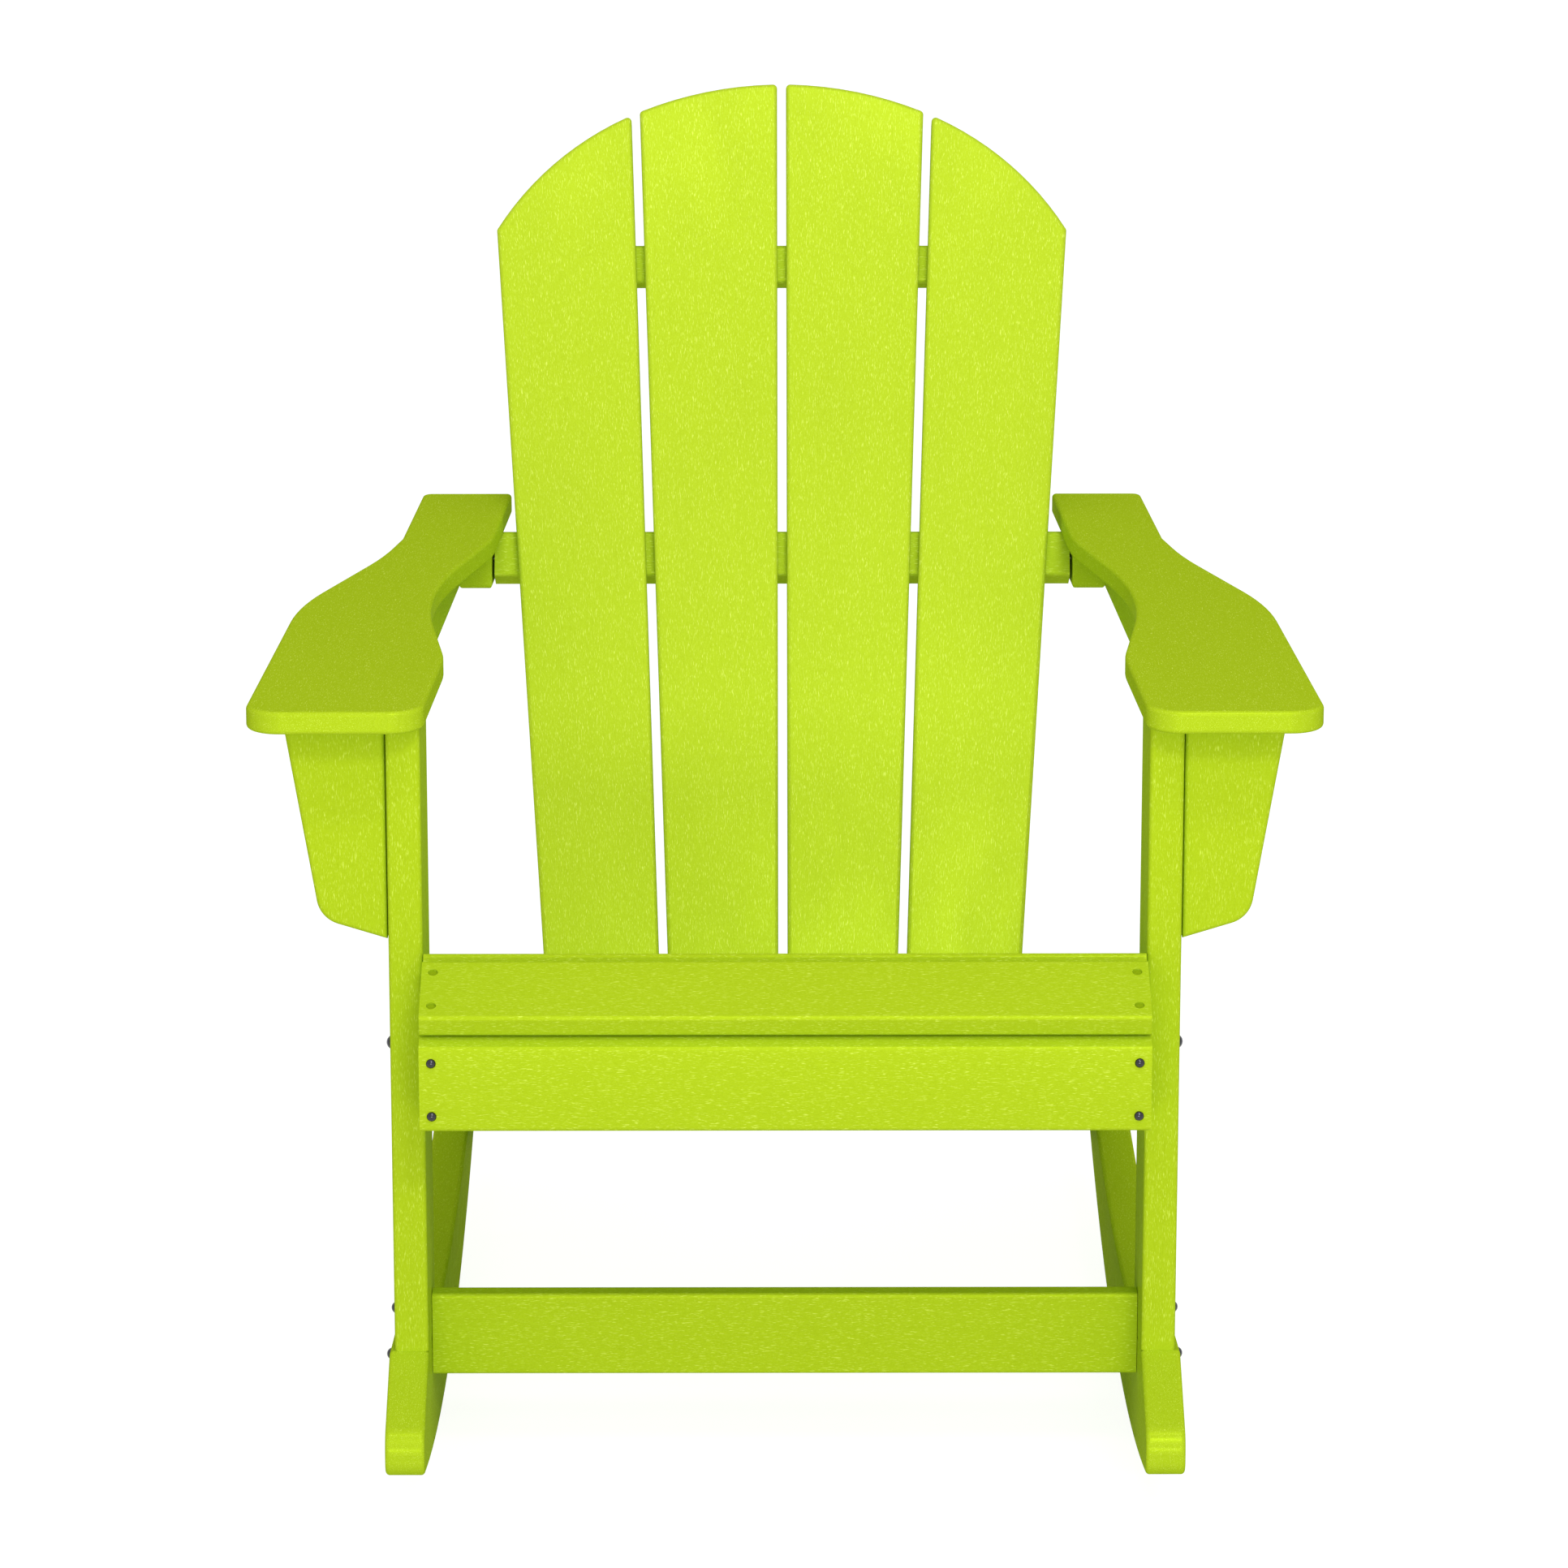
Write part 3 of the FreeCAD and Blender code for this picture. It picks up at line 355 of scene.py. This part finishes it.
LIME = LimeLumber()
# Lighter copy of the lime for the back slats and rails: painted light, standing in for the stronger
# light the reclined back catches.
BACK_PAINTED_LIGHT_LIME = LimeLumber(base=srgb(193, 220, 49), pale=srgb(230, 248, 108),
                         deep=srgb(166, 194, 16))
# Darker copy of the lime for the seat plugs: painted shade for the recesses they sit in.
PLUG_PAINTED_SHADE_LIME = LimeLumber(base=srgb(152, 178, 20), pale=srgb(176, 202, 40), deep=srgb(128, 152, 6))


@dataclass(frozen=True)
class Metal:
    """Bare or plated steel with faint handling marks."""

    slot: Slot
    colour: Colour
    roughness: float
    wear: float
    clear_coat: float = 0.0
    coat_roughness: float = 0.06
    scratch_size: float = 0.002
    scratch_detail: float = 4.0
    scratch_roughness: float = 0.6
    wear_band: tuple[float, float] = (0.55, 0.75)
    worn_gain: float = 1.5
    rough_band: tuple[float, float] = (0.3, 0.7)
    rough_gain: float = 1.6
    bump: float = 0.00002
    bump_strength: float = 0.15

    def material(self) -> bpy.types.Material:
        """Make the finish.

        Returns:
            The material.
        """
        graph = Graph(bpy.data.materials.new(self.slot.value))
        coordinates = graph.node("ShaderNodeTexCoord")
        noise = graph.node("ShaderNodeTexNoise", Scale=1 / self.scratch_size,
                           Detail=self.scratch_detail, Roughness=self.scratch_roughness)
        graph.link(coordinates.outputs["Object"], noise.inputs["Vector"])
        marks = noise.outputs["Fac"]
        worn = tuple(min(1.0, channel * self.worn_gain) for channel in self.colour)
        colour = graph.mix(graph.ramp(marks, self.wear_band, (0.0, self.wear)), self.colour, worn)
        bump = graph.node("ShaderNodeBump", Strength=self.bump_strength, Distance=self.bump)
        graph.link(marks, bump.inputs["Height"])
        shader = graph.node("ShaderNodeBsdfPrincipled", Metallic=1.0,
                            Coat_Weight=self.clear_coat, Coat_Roughness=self.coat_roughness)
        graph.link(colour, shader.inputs["Base Color"])
        rough = graph.ramp(marks, self.rough_band,
                           (self.roughness, self.roughness * self.rough_gain))
        graph.link(rough, shader.inputs["Roughness"])
        graph.link(bump.outputs["Normal"], shader.inputs["Normal"])
        return graph.finish(shader.outputs["BSDF"])


DARK_CHROME = Metal(Slot.DARK_CHROME, colour=(0.036, 0.037, 0.043), roughness=0.12, wear=0.2,
                    clear_coat=0.5)
ZINC = Metal(Slot.ZINC, colour=(0.55, 0.56, 0.58), roughness=0.34, wear=0.4)


def dress(node: bpy.types.Object, material: bpy.types.Material) -> None:
    """Give a node of the frame its finish.

    Args:
        node: The node's object.
        material: The finish.
    """
    node.data.materials.clear()
    node.data.materials.append(material)
    LOG.info("dressed %s", node.name)


def place_in_scene(piece: bpy.types.Object) -> bpy.types.Object:
    """Link a new object to the scene and return it."""
    bpy.context.scene.collection.objects.link(piece)
    return piece


@dataclass
class Boards:
    """A sub-assembly of boards that all get the lime finish."""

    nodes: dict[str, bpy.types.Object]
    finish: LimeLumber
    seed: float = 0.0
    seed_step: float = 3.7

    def grains(self) -> Iterator[tuple[str, Vector]]:
        """Names of the nodes, each with the direction of its board's length."""
        raise NotImplementedError

    def dress(self) -> None:
        """Give each board its own finish."""
        for number, (name, along) in enumerate(self.grains()):
            seed = self.seed + self.seed_step * number
            material = self.finish.material("lumber_" + name, along.normalized(), seed)
            dress(self.nodes[name], material)


@dataclass
class Back(Boards):
    """Fan of back slats and the three rails behind it."""

    recline: float = math.radians(28.0)
    fan: float = math.radians(2.0)
    inner_steps: float = 0.5
    outer_steps: float = 1.5
    seed: float = 10.0

    def grains(self) -> Iterator[tuple[str, Vector]]:
        """Slats lean outward by half a fan step and by one and a half; rails run across.

        Returns:
            Each node's name and its board's direction.
        """
        up = BACKWARD * math.sin(self.recline) + UP * math.cos(self.recline)
        for side in Side:
            for name, steps in (("inner_back_slat", self.inner_steps),
                                ("outer_back_slat", self.outer_steps)):
                yield side.prefix + name, up + ACROSS * (side.value * math.tan(steps * self.fan))
        for name in ("upper_back_rail", "arm_height_back_rail", "seat_height_back_rail"):
            yield name, ACROSS


@dataclass
class Seat(Boards):
    """Seat slats with their plugs."""

    seed: float = 60.0
    plug_seed: float = 110.0

    def grains(self) -> Iterator[tuple[str, Vector]]:
        """Every slat runs across the chair."""
        for name in sorted(name for name in self.nodes if name.startswith("seat_slat_")):
            yield name, ACROSS

    def dress(self) -> None:
        """Dress the slats, then the plugs, in a darker copy of the lime that paints the shade in
        their recesses.
        """
        super().dress()
        plugs = PLUG_PAINTED_SHADE_LIME.material("lumber_seat_plugs", UP, self.plug_seed)
        dress(self.nodes["seat_plugs"], plugs)


@dataclass
class Apron:
    """Apron whose top edge is ripped to the tilt of the first seat slat, just above it."""

    finish: LimeLumber
    name: str = "bevelled_apron"
    node: str = "apron"
    tilt: float = math.radians(24.5)
    edge_radius: float = 0.003
    rear_radius: float = 0.001
    steps: int = 5
    crease: float = math.radians(40)
    seed: float = 230.0

    def section(self, low: Vector, high: Vector) -> list[tuple[float, float]]:
        """Outline of the board's section, with rounded corners.

        Args:
            low: Lowest corner of the plain board.
            high: Highest corner of the plain board.

        Returns:
            Points in Y and Z, in order.
        """
        rise = (high.y - low.y) * math.tan(self.tilt)
        corners = [
            (Vector((low.y, low.z)), self.edge_radius),
            (Vector((high.y, low.z)), self.edge_radius),
            (Vector((high.y, high.z + rise)), self.rear_radius),
            (Vector((low.y, high.z)), self.edge_radius),
        ]
        points: list[tuple[float, float]] = []
        for number, (here, radius) in enumerate(corners):
            back = (corners[number - 1][0] - here).normalized()
            ahead = (corners[(number + 1) % len(corners)][0] - here).normalized()
            half = back.angle(ahead) / 2
            centre = here + (back + ahead).normalized() * (radius / math.sin(half))
            start = here + back * (radius / math.tan(half)) - centre
            end = here + ahead * (radius / math.tan(half)) - centre
            for step in range(self.steps + 1):
                share = step / self.steps
                spoke = (start * (1 - share) + end * share).normalized() * radius
                points.append(tuple(centre + spoke))
        return points

    def build(self) -> bpy.types.Object:
        """Make the board and let it stand for the plain one.

        Returns:
            The new board.
        """
        low, high = (Vector(corner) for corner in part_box(self.node))
        outline = self.section(low, high)
        count = len(outline)
        points = [(x, y, z) for x in (low.x, high.x) for y, z in outline]
        faces = [(i, (i + 1) % count, count + (i + 1) % count, count + i) for i in range(count)]
        faces += [tuple(reversed(range(count))), tuple(range(count, 2 * count))]
        mesh = bpy.data.meshes.new(self.name)
        mesh.from_pydata(points, [], faces)
        mesh.polygons.foreach_set("use_smooth", [True] * len(faces))
        mesh.set_sharp_from_angle(angle=self.crease)
        mesh.materials.append(self.finish.material("lumber_" + self.node, ACROSS, self.seed))
        board = place_in_scene(bpy.data.objects.new(self.name, mesh))
        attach(board, BODY)
        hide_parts(self.node)
        LOG.info("built %s", self.name)
        return board


@dataclass
class SideFrames(Boards):
    """Legs, stringers and rockers, and the stretcher between them."""

    seat_slope: float = math.radians(18.0)
    seed: float = 120.0

    def grains(self) -> Iterator[tuple[str, Vector]]:
        """Each piece runs along its own length.

        Returns:
            Each node's name and its board's direction.
        """
        slope = BACKWARD * math.cos(self.seat_slope) - UP * math.sin(self.seat_slope)
        for side in Side:
            yield side.prefix + "front_leg", UP
            yield side.prefix + "seat_stringer", slope
            yield side.prefix + "rocker", BACKWARD
        yield "front_stretcher", ACROSS


@dataclass
class Arms(Boards):
    """Arm boards and what carries them."""

    toe: float = 0.051
    seed: float = 180.0

    def grains(self) -> Iterator[tuple[str, Vector]]:
        """Boards run back along the arm; gussets run up and down.

        Returns:
            Each node's name and its board's direction.
        """
        for side in Side:
            back = BACKWARD - ACROSS * (side.value * self.toe)
            for name in ("arm", "arm_bearer", "arm_block"):
                yield side.prefix + name, back
            yield side.prefix + "arm_gusset", UP
        yield "gusset_dowels", ACROSS


@dataclass
class Fasteners:
    """Domed bolts and screws, and the nuts inside the frames."""

    nodes: dict[str, bpy.types.Object]

    def dress(self) -> None:
        """Dark chrome on what shows outside, zinc on the nuts."""
        chrome = DARK_CHROME.material()
        zinc = ZINC.material()
        for name, node in self.nodes.items():
            if name.endswith(("bolts", "screws")):
                dress(node, chrome)
            elif name.endswith("nuts"):
                dress(node, zinc)


@dataclass(frozen=True)
class SoftBox:
    """A large rectangular lamp aimed at a point."""

    name: str
    place: Triple
    aim: Triple
    width: float
    height: float
    power: float

    def build(self) -> bpy.types.Object:
        """Add the lamp to the scene.

        Returns:
            The lamp's object.
        """
        lamp = bpy.data.lights.new(self.name, "AREA")
        lamp.shape = "RECTANGLE"
        lamp.size = self.width
        lamp.size_y = self.height
        lamp.energy = self.power
        made = place_in_scene(bpy.data.objects.new(self.name, lamp))
        made.location = self.place
        aim = Vector(self.aim) - Vector(self.place)
        made.rotation_euler = aim.to_track_quat("-Z", "Y").to_euler()
        LOG.info("lamp %s", self.name)
        return made


@dataclass
class Studio:
    """Soft lamps, even surrounding light and a pale floor."""

    ambient: float = 0.52
    floor_half: float = 30.0
    floor_colour: Colour = (0.80, 0.80, 0.80)
    floor_shown: Colour = (0.35, 0.35, 0.35)
    floor_glow: float = 0.90
    lamps: tuple[SoftBox, ...] = field(default_factory=lambda: (
        SoftBox("key", place=(0.6, -3.6, 2.6), aim=(0.0, 0.0, 0.5),
                width=2.2, height=2.0, power=26.0),
        SoftBox("low_fill", place=(0.0, -4.4, 0.3), aim=(0.0, 0.0, 0.2),
                width=2.4, height=0.5, power=35.0),
        SoftBox("top_strip", place=(0.2, -1.6, 3.2), aim=(0.0, 0.1, 0.7),
                width=1.8, height=0.16, power=15.5),
        SoftBox("spark", place=(0.5, -3.2, 2.85), aim=(0.0, 0.0, 0.5),
                width=0.8, height=0.4, power=21.0),
    ))

    def build(self) -> None:
        """Make the world, the floor and the lamps."""
        self._world()
        self._floor()
        for lamp in self.lamps:
            lamp.build()

    def _shown_or_lighting(self, graph: Graph, shown: bpy.types.NodeSocket,
                           lighting: bpy.types.NodeSocket) -> bpy.types.NodeSocket:
        """Part what the camera sees from what only lights the chair.

        Args:
            graph: The material's or world's graph.
            shown: Shader for the camera, also by way of gloss and glass.
            lighting: Shader for every other ray.

        Returns:
            The joint shader.
        """
        path = graph.node("ShaderNodeLightPath")
        seen = graph.math("MAXIMUM", path.outputs["Is Camera Ray"], path.outputs["Is Glossy Ray"])
        seen = graph.math("MAXIMUM", seen, path.outputs["Is Transmission Ray"])
        choice = graph.node("ShaderNodeMixShader")
        for source, slot in zip((seen, lighting, shown), choice.inputs):
            graph.link(source, slot)
        return choice.outputs[0]

    def _world(self) -> None:
        """White to the camera, an even dim light to everything else."""
        world = bpy.data.worlds.new("studio")
        bpy.context.scene.world = world
        graph = Graph(world)
        shown = graph.node("ShaderNodeBackground", Color=(*WHITE, 1.0), Strength=1.0)
        around = graph.node("ShaderNodeBackground", Color=(*WHITE, 1.0), Strength=self.ambient)
        graph.finish(self._shown_or_lighting(graph, shown.outputs[0], around.outputs[0]))

    def _floor(self) -> None:
        """Pale floor that shows white, with the chair's soft shadow on it."""
        half = self.floor_half
        mesh = bpy.data.meshes.new("floor")
        corners = [(-half, -half, 0.0), (half, -half, 0.0), (half, half, 0.0), (-half, half, 0.0)]
        mesh.from_pydata(corners, [], [(0, 1, 2, 3)])
        floor = place_in_scene(bpy.data.objects.new("floor", mesh))
        graph = Graph(bpy.data.materials.new("pale_floor"))
        plain = graph.node("ShaderNodeBsdfDiffuse", Color=(*self.floor_colour, 1.0))
        shade = graph.node("ShaderNodeBsdfDiffuse", Color=(*self.floor_shown, 1.0))
        glow = graph.node("ShaderNodeEmission", Strength=self.floor_glow)
        both = graph.node("ShaderNodeAddShader")
        graph.link(shade.outputs[0], both.inputs[0])
        graph.link(glow.outputs[0], both.inputs[1])
        shader = self._shown_or_lighting(graph, both.outputs[0], plain.outputs[0])
        mesh.materials.append(graph.finish(shader))


@dataclass(frozen=True)
class PhotoCamera:
    """The camera that took the photograph, solved from the boards' edges."""

    focal_pixels: float = 7900.0
    frame_pixels: float = 1932.0
    sensor: float = 36.0
    nearest: float = 0.05
    farthest: float = 100.0
    place: Triple = (-0.0164, -4.862, 1.7416)
    pitch: float = math.radians(14.85)
    yaw: float = math.radians(0.2)

    def build(self) -> bpy.types.Object:
        """Add the camera and make it the scene's own.

        Returns:
            The camera's object.
        """
        data = bpy.data.cameras.new("photo_camera")
        data.sensor_width = self.sensor
        data.lens = self.focal_pixels / self.frame_pixels * self.sensor
        data.clip_start = self.nearest
        data.clip_end = self.farthest
        made = place_in_scene(bpy.data.objects.new("photo_camera", data))
        made.location = self.place
        made.rotation_euler = Euler((math.pi / 2 - self.pitch, 0.0, -self.yaw))
        bpy.context.scene.camera = made
        return made


def main() -> None:
    """Load the frame, dress every piece, and light and frame the chair."""
    logging.basicConfig(level=logging.INFO, format="%(name)s: %(message)s")
    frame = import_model()
    nodes: dict[str, bpy.types.Object] = frame["nodes"]

    # The back gets the lighter copy of the lime, which is painted light.
    for boards in (Back(nodes, BACK_PAINTED_LIGHT_LIME), Seat(nodes, LIME), SideFrames(nodes, LIME),
                   Arms(nodes, LIME)):
        boards.dress()
    Apron(LIME).build()
    Fasteners(nodes).dress()

    Studio().build()
    PhotoCamera().build()

    bpy.context.scene.view_settings.view_transform = "Standard"


if __name__ == "__main__":
    main()
